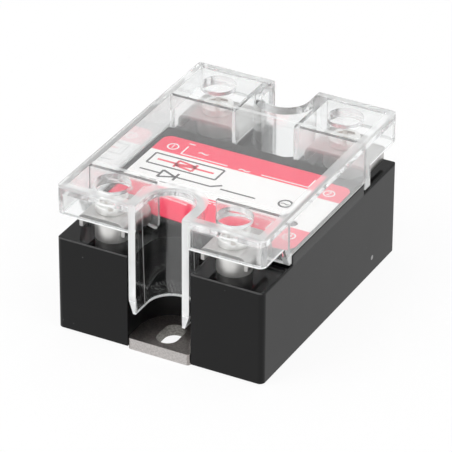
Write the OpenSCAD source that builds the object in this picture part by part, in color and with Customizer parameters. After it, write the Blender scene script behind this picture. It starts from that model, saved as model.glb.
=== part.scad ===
// Panel-mount solid state relay: a black moulded case on a metal base plate, four screw
// terminals and a clear clip-on cover whose walls reach down into the two mounting notches.
// Sizes are in millimetres. X runs across the terminals, Y along the mounting holes with the
// input terminals at the -Y end, and Z is up from the face of the base plate.

/* [Case] */
// Width of the case across the terminals
case_w = 44.5; // [42:0.1:50]
// Length of the case along the mounting holes
case_l = 57.2; // [56:0.1:64]
// Height of the two terminal decks
deck_h = 20.3; // [19:0.1:24]
// Height of the middle platform above the decks
platform_rise = 2.4; // [1.8:0.1:3.6]
// Thickness of the case's side walls
case_wall = 1.8; // [1.2:0.1:2.2]
// Thickness of the case's roof
case_roof = 1.4; // [1:0.1:2]
// Radius of the case's upright edges
case_corner_r = 1.1; // [0.8:0.1:2]
// Radius of the case's top edges
case_edge_r = 0.4; // [0.2:0.1:0.7]
// Height of the case's rim above the surface that the base plate stands on
rim_gap = 0.3; // [0.1:0.1:0.6]

/* [Mounting] */
// Distance from the case's end to the middle of a mounting slot
hole_end = 4.8; // [4.2:0.1:5.6]
// Width of a mounting slot
slot_w = 4.4; // [3.6:0.1:5.2]
// Length of a mounting slot, end to end
slot_l = 7; // [5.6:0.1:8]
// Width of the notch in the case above each mounting slot
notch_w = 13.7; // [12.8:0.1:14.6]
// Thickness of the base plate
plate_t = 2.4; // [2:0.1:3]
// How far the base plate's tongues stand out past the case
tongue_overhang = 0.3; // [0.1:0.1:0.8]
// Corner radius of those tongues
tongue_r = 0.8; // [0.4:0.1:1.2]
// Gap between the base plate and the case round it
plate_gap = 0.1; // [0.05:0.05:0.3]
// How far the platform stands back from the notch at the input end
input_shelf = 0.15; // [0.1:0.05:0.8]
// How far the platform stands back from the notch at the output end
output_shelf = 2.95; // [2:0.05:4]

/* [Cover] */
// Height of the cover's top above the platform
cover_h = 9; // [8.6:0.1:11]
// Thickness of the cover's top plate
cover_top_t = 2.1; // [1.6:0.1:2.3]
// Thickness of the cover's side and end walls
cover_wall = 1.2; // [0.8:0.1:1.4]
// How far the cover stands inside the case's sides
cover_inset = 0.05; // [0:0.05:0.3]
// Radius of the cover's upright edges
cover_corner_r = 1.5; // [1:0.1:2]
// Radius of the cover's top edges
cover_edge_r = 0.5; // [0.3:0.1:0.9]
// Height of the wire entry between a deck and the cover's end wall
wire_gap = 5.2; // [4.6:0.1:6]
// Thickness of the barriers that close the terminal chambers
barrier_t = 0.9; // [0.6:0.1:1.2]
// Height of the barriers' lower edge above the deck
barrier_gap = 0.7; // [0.4:0.1:1.2]
// Radius of the barriers' lower inner corner
barrier_corner_r = 1.2; // [0.6:0.1:2]
// Gap between the barriers and the platform's ends
barrier_clear = 0.3; // [0.2:0.05:0.6]
// How far the slanted end of a side skirt runs along the case at the input end
skirt_slant = 2.1; // [1:0.1:3]
// How far the square foot of a side skirt reaches past the barrier at the output end
skirt_foot = 1.35; // [0.8:0.05:1.6]
// Thickness of the walls that line the mounting notches
liner_wall = 1.5; // [1:0.1:1.9]
// Gap between those walls and the notch in the case
liner_clear = 0.35; // [0.3:0.05:0.6]
// How far those walls reach below the decks
liner_drop = 12.4; // [8:0.1:14]
// Width of the lead-in at their lower edge
lead_in_w = 0.9; // [0.4:0.1:0.9]
// Height of that lead-in
lead_in_h = 2.8; // [1:0.1:4]
// Diameter of the screwdriver holes in the cover's top
access_d = 7.2; // [6.8:0.1:8]

/* [Terminals] */
// Distance from the case's side to the middle of an input terminal
input_side = 9.15; // [8.6:0.05:9.5]
// Distance from the case's side to the middle of an output terminal
output_side = 8.15; // [7.9:0.05:8.4]
// How far the input screws stand inside the line of the mounting slots
input_back = 1; // [0.6:0.1:1.6]
// How far the output screws stand inside the line of the mounting slots
output_back = 2.2; // [1.6:0.1:2.8]
// Diameter of the input posts
input_post_d = 6.9; // [5.8:0.1:7.2]
// Height of the input posts above the deck
input_post_h = 5.2; // [4:0.1:5.6]
// Diameter of the output posts
output_post_d = 8; // [7:0.1:8.6]
// Height of the output posts above the deck
output_post_h = 3.5; // [2.8:0.1:4]
// Width of the bevel round the top of a post
post_bevel = 0.3; // [0.1:0.05:0.5]
// Diameter of the posts' neck in the case's roof
neck_d = 5; // [4.8:0.1:5.4]
// How far the riveted foot of a post spreads past its neck
rivet_lip = 0.4; // [0.2:0.1:0.6]
// Height of that riveted foot
rivet_h = 0.5; // [0.3:0.1:0.8]
// Width of the input clamps over their bent sides
input_clamp_w = 9.9; // [9.4:0.1:10.4]
// Length of the input clamps
input_clamp_l = 8.4; // [7.6:0.1:8.8]
// Height of the input clamps
input_clamp_h = 3.2; // [2.4:0.1:3.6]
// Width of the output clamps over their bent sides
output_clamp_w = 12.8; // [12:0.1:13]
// Length of the output clamps
output_clamp_l = 9.2; // [8:0.1:10]
// Height of the output clamps
output_clamp_h = 2.6; // [2.2:0.1:3]
// Thickness of the clamps' sheet
clamp_t = 0.8; // [0.6:0.1:1]
// Outside radius of the clamps' bends
clamp_bend_r = 1.6; // [1.2:0.1:2]
// Diameter of the terminal screws
screw_d = 4; // [3.6:0.1:4.2]
// Length of the terminal screws under the head
screw_l = 9.5; // [8:0.1:10]
// Diameter of the screws' heads
head_d = 6.1; // [5.8:0.1:6.2]
// Height of the screws' heads
head_h = 2.4; // [2:0.1:2.5]
// Radius of the heads' domed top
head_dome_r = 5.5; // [4.5:0.1:8]
// Width of the driver slots
driver_w = 0.9; // [0.6:0.1:1.2]
// Depth of the driver slots
driver_depth = 1.2; // [0.8:0.1:1.4]
// Length of the shorter driver slot
driver_l = 3.8; // [3:0.1:4.6]
// Angle at which the long driver slot lies
driver_turn = 28; // [0:1:90]
// Gap between a screw and the thread of its post
thread_clear = 0.05; // [0.02:0.01:0.08]
// Gap between a screw and the hole of its clamp
clamp_clear = 0.25; // [0.2:0.05:0.4]

/* [Label and indicator] */
// Gap between the label and the cover's left skirt
label_left = 1.2; // [0.2:0.05:2]
// Gap between the label and the cover's right skirt
label_right = 0.4; // [0.2:0.05:2]
// Gap between the label and the platform's input end
label_front = 1.2; // [0.6:0.1:2]
// Gap between the label and the platform's output end
label_back = 3.4; // [1:0.1:5]
// Corner radius of the label
label_corner_r = 2; // [1:0.1:3]
// Thickness of the label
label_t = 0.12; // [0.1:0.01:0.2]
// Diameter of the indicator lamp
led_d = 2; // [1.6:0.1:2.4]
// Gap between the indicator lamp and the hole in the label
led_label_gap = 0.1; // [0.05:0.05:0.2]
// How far the lamp's flange spreads past its body
led_flange_lip = 0.3; // [0.2:0.1:0.5]
// Height of the lamp's flange
led_flange_h = 0.5; // [0.3:0.1:0.8]
// Distance between the lamp's two leads
led_lead_pitch = 1; // [0.8:0.1:1.4]
// How far the indicator lamp stands above the platform
led_rise = 0.3; // [0.2:0.1:0.6]
// Distance of the indicator lamp from the case's side
led_side = 6.15; // [5.4:0.05:6.4]
// Distance of the indicator lamp from the platform's input end
led_front = 10.2; // [8:0.1:12]

/* [Inside] */
// Height of the circuit board's underside above the base plate
board_lift = 9.6; // [9:0.1:10]
// Thickness of the circuit board
board_t = 1.6; // [1:0.1:2]
// Gap between the circuit board and the case's sides
board_side = 3.4; // [3:0.1:3.6]
// Diameter of the case's pillars that hold the circuit board
pillar_d = 3.6; // [3:0.1:4]
// Diameter of the pins that pass through the circuit board
stake_d = 1.6; // [1.2:0.1:2]
// How far those pins stand out under the circuit board
stake_end = 0.8; // [0.4:0.1:1.2]
// Margin round the edge of the circuit board
board_edge = 0.5; // [0.3:0.1:0.8]
// Gap between the output straps and the platform's wall
riser_gap = 0.2; // [0.1:0.05:0.4]
// Depth of the resin fill over the base plate
resin_h = 7.4; // [6:0.1:8]
// Width of the ceramic substrate
substrate_w = 27; // [24:0.1:30]
// Length of the ceramic substrate
substrate_l = 15; // [12:0.1:16]
// Thickness of the ceramic substrate
substrate_t = 1; // [0.6:0.1:1.4]
// Side of a thyristor chip
chip_w = 7.5; // [6:0.1:8]
// Thickness of a thyristor chip
chip_t = 0.6; // [0.4:0.1:0.9]
// Distance between the two chips
chip_pitch = 16; // [15:0.1:17]
// Width of the copper straps
strap_w = 5; // [4:0.1:5.4]
// Thickness of the copper straps
strap_t = 0.8; // [0.6:0.1:1]
// How far a strap's tab spreads past the post's neck
tab_lip = 1; // [0.6:0.1:1.4]
// Thickness of the wire leads
lead_d = 0.7; // [0.5:0.05:0.9]
// Distance between the two gate leads
gate_lead_pitch = 4; // [3:0.1:6]
// Gap between pieces that are set in holes or in resin
set_gap = 0.05; // [0.03:0.01:0.1]

/* [Parts on the board] */
// Gap between neighbouring parts on the board
part_gap = 0.9; // [0.5:0.1:1.4]
// Width of the optocoupler's body
opto_w = 6.4; // [6:0.1:7]
// Length of the optocoupler's body
opto_l = 8.8; // [8:0.1:9.4]
// Height of the optocoupler's body
opto_h = 3.4; // [3:0.1:4]
// Gap between the optocoupler's body and the board
opto_stand = 0.6; // [0.4:0.1:1]
// Radius of the optocoupler's edges
opto_edge_r = 0.3; // [0.2:0.1:0.5]
// Thickness of the optocoupler's legs
opto_leg_t = 0.3; // [0.2:0.05:0.4]
// Width of the optocoupler's legs
opto_leg_w = 0.6; // [0.4:0.1:0.9]
// Distance between neighbouring legs
opto_leg_pitch = 2.54; // [2:0.01:2.6]
// Distance of the optocoupler from the board's left edge
opto_side = 5.3; // [4.6:0.1:6]
// Width of the capacitor
capacitor_w = 10.5; // [9:0.1:11]
// Length of the capacitor
capacitor_l = 4.6; // [4:0.1:5]
// Height of the capacitor
capacitor_h = 5.6; // [5:0.1:6]
// Radius of the capacitor's edges
capacitor_edge_r = 0.6; // [0.3:0.1:0.9]
// Gap between the capacitor and the board's output edge
capacitor_back = 2.8; // [2:0.1:3.4]
// Diameter of the snubber resistor
snubber_d = 2.6; // [2:0.1:3]
// Length of the snubber resistor's body
snubber_l = 7; // [6:0.1:7.6]
// Diameter of the input resistor
resistor_d = 2.2; // [1.8:0.1:2.6]
// Length of the input resistor's body
resistor_l = 6; // [5:0.1:6.6]
// Length of a resistor's lead before it bends down
resistor_lead_l = 1.5; // [1:0.1:2]
// Gap between a resistor's body and the board
resistor_stand = 0.6; // [0.4:0.1:1]
// Diameter of the transistor
transistor_d = 4.6; // [4.2:0.1:5]
// Height of the transistor's body
transistor_h = 4; // [3.4:0.1:4.6]
// Gap between the transistor's body and the board
transistor_stand = 1.4; // [1:0.1:2]
// Distance of the transistor's flat from its middle
transistor_flat = 1.2; // [1:0.1:1.6]
// Distance between neighbouring transistor leads
transistor_lead_pitch = 1.27; // [1.1:0.01:1.4]
// Distance of the transistor from the board's input edge
transistor_front = 6.3; // [6:0.1:7]

/* [Hidden] */
$fn = 64;
left = -1;
right = 1;
cut = 1;
case_black = "#1d1d1f";
nickel = "#c9c8c4";
copper = "#b87345";

platform_h = deck_h + platform_rise;
hole_y = case_l / 2 - hole_end;
notch_r = notch_w / 2;
notch_end = hole_y - notch_r;
platform_y0 = input_shelf - notch_end;
platform_y1 = notch_end - output_shelf;
platform_l = platform_y1 - platform_y0;
inner_w = case_w - 2 * case_wall;
inner_l = case_l - 2 * case_wall;
deck_under = deck_h - case_roof;
platform_under = platform_h - case_roof;

cover_top = platform_h + cover_h;
cover_w = case_w - 2 * cover_inset;
cover_l = case_l;
cover_under = cover_top - cover_top_t;
end_wall_z = deck_h + wire_gap;
barrier_z = deck_h + barrier_gap;
barrier_y0 = platform_y0 - barrier_clear;
barrier_y1 = platform_y1 + barrier_clear;
liner_r = notch_r - liner_clear;
liner_in_r = liner_r - liner_wall;
liner_z = deck_h - liner_drop;

input_x = case_w / 2 - input_side;
output_x = case_w / 2 - output_side;
input_y = input_back - hole_y;
output_y = hole_y - output_back;
input_seat = deck_h + input_post_h;
output_seat = deck_h + output_post_h;
tab_half = neck_d / 2 + tab_lip;
rivet_d = neck_d + 2 * rivet_lip;

label_w = cover_w - 2 * cover_wall - label_left - label_right;
label_x = (label_left - label_right) / 2;
label_l = platform_l - label_front - label_back;
label_y = platform_y0 + label_front + label_l / 2;
led_x = case_w / 2 - led_side;
led_y = platform_y0 + led_front;

substrate_top = plate_t + substrate_t;
chip_top = substrate_top + chip_t;
chip_x = chip_pitch / 2;
board_z = plate_t + board_lift;
board_top = board_z + board_t;
board_w = inner_w - 2 * board_side;
riser_y = platform_y1 - case_wall - riser_gap - strap_t;
board_y0 = platform_y0 + case_wall + board_edge;
board_y1 = riser_y - board_edge;
board_l = board_y1 - board_y0;
board_y = (board_y0 + board_y1) / 2;
substrate_y = riser_y - board_edge - substrate_l / 2;
input_riser_y = board_y0 + board_edge;
pillar_back = pillar_d / 2 + board_edge;
pillar_places = [
    for (side = [left, right])
        each [
            [side * (board_w / 2 - pillar_back), board_y1 - pillar_back],
            [side * (notch_r - pillar_back), board_y0 + pillar_back]
        ]
];
opto_x = opto_side + opto_w / 2 - board_w / 2;
capacitor_x = board_w / 2 - pillar_back - pillar_d / 2 - part_gap - capacitor_w / 2;
capacitor_y = board_y1 - capacitor_back - capacitor_l / 2;
snubber_y = capacitor_y - capacitor_l / 2 - part_gap - snubber_d / 2;
resistor_y = snubber_y - snubber_d / 2 - part_gap - resistor_d / 2;
resistor_reach = resistor_l / 2 + resistor_lead_l + lead_d / 2;
transistor_x = capacitor_x - resistor_reach - part_gap - transistor_d / 2;

// Shared shapes

// Rectangle with rounded corners, centred
module round_rect(size, r) {
    square([size[0] - 2 * r, size[1]], center = true);
    square([size[0], size[1] - 2 * r], center = true);
    for (x = [-1, 1], y = [-1, 1])
        translate([x * (size[0] / 2 - r), y * (size[1] / 2 - r)])
            circle(r);
}

// Upright profile with its two top corners rounded, centred across
module arched_profile(width, z0, z1, r) {
    translate([-width / 2, z0])
        square([width, z1 - z0 - r]);
    translate([r - width / 2, z0])
        square([width - 2 * r, z1 - z0]);
    for (x = [-1, 1])
        translate([x * (width / 2 - r), z1 - r])
            circle(r);
}

// Block with rounded upright edges and rounded top edges, centred on the origin in plan
module moulded_block(w, l, z0, z1, corner_r, edge_r) {
    intersection() {
        translate([0, 0, z0])
            linear_extrude(z1 - z0)
                round_rect([w, l], corner_r);
        rotate([90, 0, 0])
            linear_extrude(l, center = true)
                arched_profile(w, z0, z1, edge_r);
        rotate([90, 0, 90])
            linear_extrude(w, center = true)
                arched_profile(l, z0, z1, edge_r);
    }
}

// Its child at the output end, and turned half round at the input end
module both_ends() {
    for (turn = [0, 180])
        rotate(turn)
            children();
}

// Plan of a round-ended slot along Y, centred
module slot_plan(w, l) {
    straight = l - w;
    square([w, straight], center = true);
    for (y = [-1, 1])
        translate([0, y * straight / 2])
            circle(d = w);
}

// Plan of a slot round the mounting hole at the output end, open towards the end
module notch_plan(r, end_y) {
    translate([0, hole_y])
        circle(r);
    translate([-r, hole_y])
        square([2 * r, end_y - hole_y]);
}

// Its child at the input terminal on one side
module at_input(side) {
    translate([side * input_x, input_y])
        children();
}

// Its child at the output terminal on one side
module at_output(side) {
    translate([side * output_x, output_y])
        children();
}

// Its child at each of the four terminals
module at_terminals() {
    for (side = [left, right]) {
        at_input(side)
            children();
        at_output(side)
            children();
    }
}

// Its child on the left, drawn for the right and mirrored
module on_side(side) {
    mirror([side == left ? 1 : 0, 0, 0])
        children();
}

// Housing

module base_plate() {
    tongue_w = notch_w - 2 * plate_gap;
    color(nickel)
        difference() {
            linear_extrude(plate_t) {
                round_rect([inner_w - 2 * plate_gap, inner_l - 2 * plate_gap], case_corner_r);
                round_rect([tongue_w, case_l + 2 * tongue_overhang], tongue_r);
            }
            both_ends()
                translate([0, hole_y, -cut])
                    linear_extrude(plate_t + 2 * cut)
                        slot_plan(slot_w, slot_l);
        }
}

// Hollow of the case, without the walls that stand round the two notches
module case_hollow() {
    difference() {
        union() {
            translate([0, 0, -cut])
                linear_extrude(deck_under + cut)
                    round_rect([inner_w, inner_l], case_corner_r);
            translate([-inner_w / 2, platform_y0 + case_wall, deck_under - cut])
                cube([inner_w, platform_l - 2 * case_wall, platform_under - deck_under + cut]);
        }
        both_ends()
            translate([0, 0, plate_t])
                linear_extrude(platform_h)
                    notch_plan(notch_r + case_wall, case_l);
    }
}

// Pillars under the roof that carry the circuit board on staked pins
module board_pillars() {
    for (place = pillar_places)
        translate(place) {
            translate([0, 0, board_top])
                cylinder(d = pillar_d, h = platform_under - board_top + case_roof / 2);
            translate([0, 0, board_z - stake_end])
                cylinder(d = stake_d, h = board_t + stake_end + cut);
        }
}

module case() {
    color(case_black)
        difference() {
            union() {
                difference() {
                    union() {
                        moulded_block(case_w, case_l, rim_gap, deck_h, case_corner_r, case_edge_r);
                        translate([0, (platform_y0 + platform_y1) / 2, 0])
                            moulded_block(case_w, platform_l, rim_gap, platform_h,
                                          case_edge_r, case_edge_r);
                    }
                    case_hollow();
                }
                board_pillars();
            }
            both_ends()
                translate([0, 0, -cut])
                    linear_extrude(platform_h + 2 * cut)
                        notch_plan(notch_r, case_l);
            at_terminals()
                translate([0, 0, deck_under - cut])
                    cylinder(d = neck_d + 2 * set_gap, h = case_roof + 2 * cut);
            translate([led_x, led_y, platform_under - cut])
                cylinder(d = led_d + 2 * set_gap, h = case_roof + 2 * cut);
        }
}

module label() {
    color("#f4f3f1")
        difference() {
            translate([label_x, label_y, platform_h])
                linear_extrude(label_t)
                    round_rect([label_w, label_l], label_corner_r);
            translate([led_x, led_y, platform_h - cut])
                cylinder(d = led_d + 2 * led_label_gap, h = label_t + 2 * cut);
        }
}

module status_led() {
    body_z = platform_under - led_flange_h;
    dome_z = platform_h + led_rise - led_d / 2;
    color("#8d9093")
        translate([led_x, led_y, 0]) {
            translate([0, 0, body_z])
                cylinder(d = led_d + 2 * led_flange_lip, h = led_flange_h);
            translate([0, 0, body_z])
                cylinder(d = led_d, h = dome_z - body_z);
            translate([0, 0, dome_z])
                sphere(d = led_d);
            for (y = [-1, 1])
                translate([0, y * led_lead_pitch / 2, board_top])
                    cylinder(d = lead_d, h = body_z + led_flange_h - board_top);
        }
}

// Clear cover

// Outline of a side wall: short over the two wire entries, deep beside the platform
module side_profile() {
    outer_y0 = barrier_y0 - barrier_t;
    outer_y1 = barrier_y1 + barrier_t;
    polygon([
        [-cover_l / 2, end_wall_z], [outer_y0 - skirt_slant, end_wall_z],
        [outer_y0, barrier_z], [barrier_y0, barrier_z],
        [barrier_y0, platform_h], [barrier_y1, platform_h],
        [barrier_y1, barrier_z], [outer_y1 + skirt_foot, barrier_z],
        [outer_y1 + skirt_foot, end_wall_z], [cover_l / 2, end_wall_z],
        [cover_l / 2, cover_top], [-cover_l / 2, cover_top]
    ]);
}

// Outline of a barrier seen from the end, with its lower inner corner rounded
module barrier_profile() {
    inner_x = liner_r;
    r = barrier_corner_r;
    translate([inner_x, barrier_z + r])
        square([cover_w / 2 - inner_x, cover_top - barrier_z - r]);
    translate([inner_x + r, barrier_z])
        square([cover_w / 2 - inner_x - r, cover_top - barrier_z]);
    translate([inner_x + r, barrier_z + r])
        circle(r);
}

// Barrier across one side of the cover, its near face at y
module barrier(side, y) {
    on_side(side)
        translate([0, y + barrier_t, 0])
            rotate([90, 0, 0])
                linear_extrude(barrier_t)
                    barrier_profile();
}

// Outside of the wall that lines the notch at the output end, with a lead-in at its foot
module liner_outside() {
    straight_z = liner_z + lead_in_h;
    tip_r = liner_r - lead_in_w;
    translate([0, hole_y, liner_z])
        cylinder(r1 = tip_r, r2 = liner_r, h = lead_in_h);
    translate([0, hole_y, straight_z])
        cylinder(r = liner_r, h = cover_top - straight_z);
    translate([0, cover_l / 2, 0])
        rotate([90, 0, 0])
            linear_extrude(cover_l / 2 - hole_y)
                polygon([
                    [-tip_r, liner_z], [tip_r, liner_z], [liner_r, straight_z],
                    [liner_r, cover_top], [-liner_r, cover_top], [-liner_r, straight_z]
                ]);
}

// All the cover's walls before its outside is rounded
module cover_walls() {
    translate([-cover_w / 2, -cover_l / 2, cover_under])
        cube([cover_w, cover_l, cover_top_t]);
    for (side = [left, right])
        translate([side * (cover_w - cover_wall) / 2, 0, 0])
            rotate([90, 0, 90])
                linear_extrude(cover_wall, center = true)
                    side_profile();
    both_ends()
        translate([-cover_w / 2, cover_l / 2 - cover_wall, end_wall_z])
            cube([cover_w, cover_wall, cover_top - end_wall_z]);
    for (side = [left, right]) {
        barrier(side, barrier_y0 - barrier_t);
        barrier(side, barrier_y1);
        on_side(side)
            translate([liner_r - set_gap, barrier_y1, barrier_z + barrier_corner_r])
                cube([barrier_t, cover_l / 2 - barrier_y1, cover_top - barrier_z - barrier_corner_r]);
    }
    both_ends()
        liner_outside();
}

module cover() {
    color([0.86, 0.91, 0.94, 0.35])
        difference() {
            intersection() {
                moulded_block(cover_w, cover_l, liner_z, cover_top, cover_corner_r, cover_edge_r);
                cover_walls();
            }
            both_ends()
                translate([0, 0, liner_z - cut])
                    linear_extrude(cover_top - liner_z + 2 * cut)
                        notch_plan(liner_in_r, cover_l);
            at_terminals()
                translate([0, 0, cover_under - cut])
                    cylinder(d = access_d, h = cover_top_t + 2 * cut);
        }
}

// Terminals

// Threaded post that stands on the deck, with its neck riveted under the strap's tab
module terminal_post(d, seat) {
    rivet_top = deck_under - strap_t;
    color(nickel)
        difference() {
            union() {
                translate([0, 0, deck_h])
                    cylinder(d = d, h = seat - deck_h - post_bevel);
                translate([0, 0, seat - post_bevel])
                    cylinder(d1 = d, d2 = d - 2 * post_bevel, h = post_bevel);
                translate([0, 0, rivet_top - rivet_h])
                    cylinder(d = neck_d, h = deck_h - rivet_top + rivet_h);
                translate([0, 0, rivet_top - rivet_h])
                    cylinder(d = rivet_d, h = rivet_h);
            }
            translate([0, 0, rivet_top - rivet_h - cut])
                cylinder(d = screw_d + 2 * thread_clear, h = seat - rivet_top + rivet_h + 2 * cut);
        }
}

// Sheet bent down at both sides, seen from its end
module saddle_profile(w, z0, z1) {
    difference() {
        arched_profile(w, z0, z1, clamp_bend_r);
        arched_profile(w - 2 * clamp_t, z0 - cut, z1 - clamp_t, clamp_bend_r - clamp_t);
    }
}

// Saddle that the screw presses on the wire, its sides bent down round the post
module terminal_clamp(w, l, h, seat) {
    top = seat + clamp_t;
    color(nickel)
        difference() {
            rotate([90, 0, 0])
                linear_extrude(l, center = true)
                    saddle_profile(w, top - h, top);
            translate([0, 0, seat - cut])
                cylinder(d = screw_d + 2 * clamp_clear, h = clamp_t + 2 * cut);
        }
}

// Domed screw with one slot right across its head and a shorter one square to it
module terminal_screw(seat) {
    color(nickel)
        translate([0, 0, seat + clamp_t])
            difference() {
                union() {
                    translate([0, 0, -screw_l])
                        cylinder(d = screw_d, h = screw_l + head_h / 2);
                    intersection() {
                        cylinder(d = head_d, h = head_h);
                        translate([0, 0, head_h - head_dome_r])
                            sphere(head_dome_r);
                    }
                }
                rotate(driver_turn)
                    translate([0, 0, head_h - driver_depth]) {
                        translate([-driver_w / 2, -head_d, 0])
                            cube([driver_w, 2 * head_d, head_h]);
                        translate([-driver_l / 2, -driver_w / 2, 0])
                            cube([driver_l, driver_w, head_h]);
                    }
            }
}

module input_post(side) {
    at_input(side)
        terminal_post(input_post_d, input_seat);
}

module output_post(side) {
    at_output(side)
        terminal_post(output_post_d, output_seat);
}

module input_clamp(side) {
    at_input(side)
        terminal_clamp(input_clamp_w, input_clamp_l, input_clamp_h, input_seat);
}

module output_clamp(side) {
    at_output(side)
        terminal_clamp(output_clamp_w, output_clamp_l, output_clamp_h, output_seat);
}

module input_screw(side) {
    at_input(side)
        terminal_screw(input_seat);
}

module output_screw(side) {
    at_output(side)
        terminal_screw(output_seat);
}

// Power and control parts inside the case

module ceramic_substrate() {
    color("#e8e6df")
        translate([-substrate_w / 2, substrate_y - substrate_l / 2, plate_t])
            cube([substrate_w, substrate_l, substrate_t]);
}

module thyristor(side) {
    color("#6f7278")
        translate([side * chip_x - chip_w / 2, substrate_y - chip_w / 2, substrate_top])
            cube([chip_w, chip_w, chip_t]);
}

// Copper strap on the right: foot on the chip, riser, and a tab under the output post
module output_strap_form(gap) {
    foot_y = substrate_y - chip_w / 2 - gap;
    inner_x = chip_x - strap_w / 2 - gap;
    tab_z = deck_under - strap_t;
    turn_y = notch_end - case_wall - board_edge;
    translate([inner_x, foot_y, chip_top - gap])
        cube([strap_w + 2 * gap, riser_y + strap_t + gap - foot_y, strap_t + 2 * gap]);
    translate([inner_x, riser_y - gap, chip_top - gap])
        cube([strap_w + 2 * gap, strap_t + 2 * gap, deck_under - chip_top + gap]);
    translate([inner_x, riser_y, tab_z])
        cube([output_x + tab_half - inner_x, turn_y - riser_y, strap_t]);
    translate([output_x - tab_half, riser_y, tab_z])
        cube([2 * tab_half, output_y + tab_half - riser_y, strap_t]);
}

module output_strap(side) {
    color(copper)
        on_side(side)
            difference() {
                output_strap_form(0);
                translate([output_x, output_y, deck_under - strap_t - cut])
                    cylinder(d = neck_d + 2 * set_gap, h = strap_t + 2 * cut);
            }
}

// Copper strap from an input post to the circuit board
module input_strap(side) {
    tab_z = deck_under - strap_t;
    color(copper)
        on_side(side)
            difference() {
                union() {
                    translate([input_x - tab_half, input_y - tab_half, tab_z])
                        cube([2 * tab_half, input_riser_y + strap_t - input_y + tab_half, strap_t]);
                    translate([input_x - strap_w / 2, input_riser_y, board_top])
                        cube([strap_w, strap_t, deck_under - board_top]);
                }
                translate([input_x, input_y, tab_z - cut])
                    cylinder(d = neck_d + 2 * set_gap, h = strap_t + 2 * cut);
            }
}

module circuit_board() {
    color("#2c6b3f")
        difference() {
            translate([-board_w / 2, board_y0, board_z])
                cube([board_w, board_l, board_t]);
            for (place = pillar_places)
                translate([place[0], place[1], board_z - cut])
                    cylinder(d = stake_d + 2 * set_gap, h = board_t + 2 * cut);
        }
}

module optocoupler() {
    leg_x = (opto_w + opto_leg_t) / 2;
    color("#26282b")
        translate([opto_x, board_y, board_top]) {
            translate([0, 0, opto_stand])
                moulded_block(opto_w, opto_l, 0, opto_h, opto_edge_r, opto_edge_r);
            for (side = [left, right], row = [-1, 0, 1])
                translate([side * leg_x - opto_leg_t / 2, row * opto_leg_pitch - opto_leg_w / 2, 0])
                    cube([opto_leg_t, opto_leg_w, opto_stand + opto_h / 2]);
        }
}

module snubber_capacitor() {
    color("#b5722a")
        translate([capacitor_x, capacitor_y, board_top])
            moulded_block(capacitor_w, capacitor_l, 0, capacitor_h, capacitor_edge_r, capacitor_edge_r);
}

// Resistor with its leads bent down to the board, lying along X
module axial_resistor(d, l) {
    bend_x = l / 2 + resistor_lead_l;
    z = d / 2 + resistor_stand;
    translate([-l / 2, 0, z])
        rotate([0, 90, 0])
            cylinder(d = d, h = l);
    translate([-bend_x, 0, z])
        rotate([0, 90, 0])
            cylinder(d = lead_d, h = 2 * bend_x);
    for (side = [left, right]) {
        translate([side * bend_x, 0, 0])
            cylinder(d = lead_d, h = z);
        translate([side * bend_x, 0, z])
            sphere(d = lead_d);
    }
}

module snubber_resistor() {
    color("#d8c39a")
        translate([capacitor_x, snubber_y, board_top])
            axial_resistor(snubber_d, snubber_l);
}

module input_resistor() {
    color("#7fa6bf")
        translate([capacitor_x, resistor_y, board_top])
            axial_resistor(resistor_d, resistor_l);
}

module drive_transistor() {
    color("#26282b")
        translate([transistor_x, board_y0 + transistor_front, board_top]) {
            difference() {
                translate([0, 0, transistor_stand])
                    cylinder(d = transistor_d, h = transistor_h);
                translate([-transistor_d, transistor_flat, transistor_stand - cut])
                    cube([2 * transistor_d, transistor_d, transistor_h + 2 * cut]);
            }
            for (place = [-1, 0, 1])
                translate([place * transistor_lead_pitch, 0, 0])
                    cylinder(d = lead_d, h = transistor_stand + transistor_h / 2);
        }
}

// Two leads from the board down to the gates on the substrate
module gate_lead_form(gap) {
    for (side = [left, right])
        translate([side * gate_lead_pitch / 2, substrate_y, substrate_top])
            cylinder(d = lead_d + 2 * gap, h = board_z - substrate_top);
}

module gate_leads() {
    color(copper)
        gate_lead_form(0);
}

// Resin poured over the base plate, round all that stands in it
module potting_resin() {
    color("#3a3a3c")
        difference() {
            translate([0, 0, plate_t])
                linear_extrude(resin_h)
                    round_rect([inner_w - 2 * set_gap, inner_l - 2 * set_gap], case_corner_r);
            both_ends()
                translate([0, 0, plate_t - cut])
                    linear_extrude(resin_h + 2 * cut)
                        notch_plan(notch_r + case_wall + set_gap, case_l);
            translate([-substrate_w / 2 - set_gap, substrate_y - substrate_l / 2 - set_gap, plate_t - cut])
                cube([substrate_w + 2 * set_gap, substrate_l + 2 * set_gap, substrate_t + set_gap + cut]);
            for (side = [left, right]) {
                translate([side * chip_x, substrate_y, plate_t + (substrate_t + chip_t + set_gap) / 2])
                    cube([chip_w + 2 * set_gap, chip_w + 2 * set_gap, substrate_t + chip_t + set_gap],
                         center = true);
                on_side(side)
                    output_strap_form(set_gap);
            }
            gate_lead_form(set_gap);
        }
}

base_plate();
case();
label();
status_led();
input_post(left);  // input_post_left
input_post(right);  // input_post_right
output_post(left);  // output_post_left
output_post(right);  // output_post_right
input_clamp(left);  // input_clamp_left
input_clamp(right);  // input_clamp_right
output_clamp(left);  // output_clamp_left
output_clamp(right);  // output_clamp_right
input_screw(left);  // input_screw_left
input_screw(right);  // input_screw_right
output_screw(left);  // output_screw_left
output_screw(right);  // output_screw_right
ceramic_substrate();
thyristor(left);  // thyristor_left
thyristor(right);  // thyristor_right
output_strap(left);  // output_strap_left
output_strap(right);  // output_strap_right
input_strap(left);  // input_strap_left
input_strap(right);  // input_strap_right
circuit_board();
optocoupler();
snubber_capacitor();
snubber_resistor();
input_resistor();
drive_transistor();
gate_leads();
potting_resin();
cover();
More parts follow.
